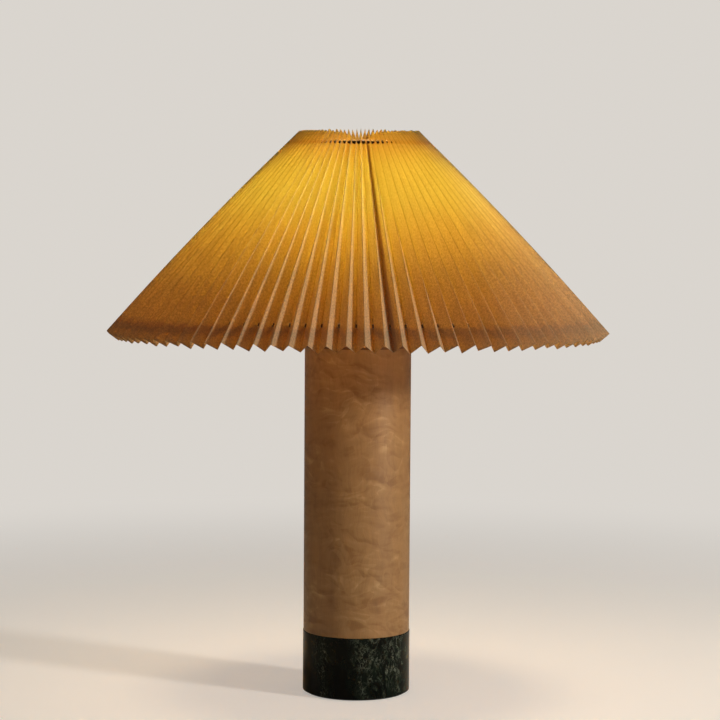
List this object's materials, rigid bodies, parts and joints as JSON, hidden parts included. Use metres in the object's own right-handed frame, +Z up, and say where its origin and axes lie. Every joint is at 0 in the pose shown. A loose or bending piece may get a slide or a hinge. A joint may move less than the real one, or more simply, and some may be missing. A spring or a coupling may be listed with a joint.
{
  "type": "table lamp",
  "caption": "Table lamp with a round marble foot, a figured-wood column and a wide pleated cone shade that lifts off a harp over a turn-switch bulb socket.",
  "frame": {"origin": "middle of the felt's underside, where the lamp stands", "axes": "+Z up along the column, -Y to the front, +X to the right seen from the front"},
  "size_m": [0.4998, 0.4998, 0.5613],
  "materials": {
    "felt": "felted",
    "marble": "polished",
    "veneer": "satin lacquer",
    "core_wood": "raw",
    "brass": "satin",
    "steel": "zinc plated",
    "cap_metal": "rolled",
    "black_plastic": "matte",
    "phenolic": "moulded",
    "black_glass": "glazed",
    "liner_board": "pressed fibre",
    "bulb_glass": "frosted",
    "filament": "phosphor coat",
    "shade_sheet": "pleated linen"
  },
  "bodies": {
    "stand": {"felt_pad": "felt", "marble_base": "marble", "cord_bushing": "black_plastic", "threaded_pipe": "steel", "base_washer": "steel", "lock_washer": "steel", "base_nut": "steel", "column_core": "core_wood", "column_veneer": "veneer", "column_bottom_plug": "core_wood", "column_top_plug": "core_wood", "column_cap": "veneer", "check_ring": "brass", "harp_saddle": "brass", "saddle_nut": "brass", "socket_cap": "brass", "socket_set_screw": "steel", "socket_shell": "brass", "socket_liner": "liner_board", "socket_body": "phenolic", "terminal_screws": "brass", "screw_shell": "brass", "centre_contact": "brass"},
    "switch": {"switch_shaft": "phenolic", "switch_cam": "phenolic", "switch_knob": "black_plastic"},
    "bulb": {"bulb_eyelet": "cap_metal", "bulb_insulator": "black_glass", "bulb_cap": "cap_metal", "bulb_glass": "bulb_glass", "bulb_stem": "bulb_glass", "bulb_filaments": "filament"},
    "harp": {"harp_wire": "brass"},
    "ferrule_left": {"ferrule_left": "brass"},
    "ferrule_right": {"ferrule_right": "brass"},
    "seat": {"harp_seat": "brass"},
    "shade": {"shade_spider": "brass", "shade_bottom_ring": "brass", "pleated_shade": "shade_sheet"},
    "finial": {"finial": "brass"}
  },
  "joints": [
    {"name": "switch_turn", "type": "hinge", "parent": "stand", "child": "switch", "pos_m": [0, -0.029, 0.3847], "axis": [0, -1, 0], "continuous": true},
    {"name": "bulb_unscrew", "type": "slide", "parent": "stand", "child": "bulb", "axis": [0, 0, 1], "range_m": [0, 0.026]},
    {"name": "harp_lift", "type": "slide", "parent": "stand", "child": "harp", "axis": [0, 0, 1], "range_m": [0, 0.16]},
    {"name": "ferrule_left_slide", "type": "slide", "parent": "harp", "child": "ferrule_left", "axis": [0, 0, 1], "range_m": [0, 0.014]},
    {"name": "ferrule_right_slide", "type": "slide", "parent": "harp", "child": "ferrule_right", "axis": [0, 0, 1], "range_m": [0, 0.014]},
    {"name": "shade_swivel", "type": "hinge", "parent": "harp", "child": "seat", "pos_m": [0, 0, 0.5374], "axis": [0, 0, 1], "continuous": true},
    {"name": "shade_lift", "type": "slide", "parent": "seat", "child": "shade", "axis": [0, 0, 1], "range_m": [0, 0.21]},
    {"name": "finial_turn", "type": "hinge", "parent": "shade", "child": "finial", "pos_m": [0, 0, 0.548], "axis": [0, 0, 1], "continuous": true}
  ]
}
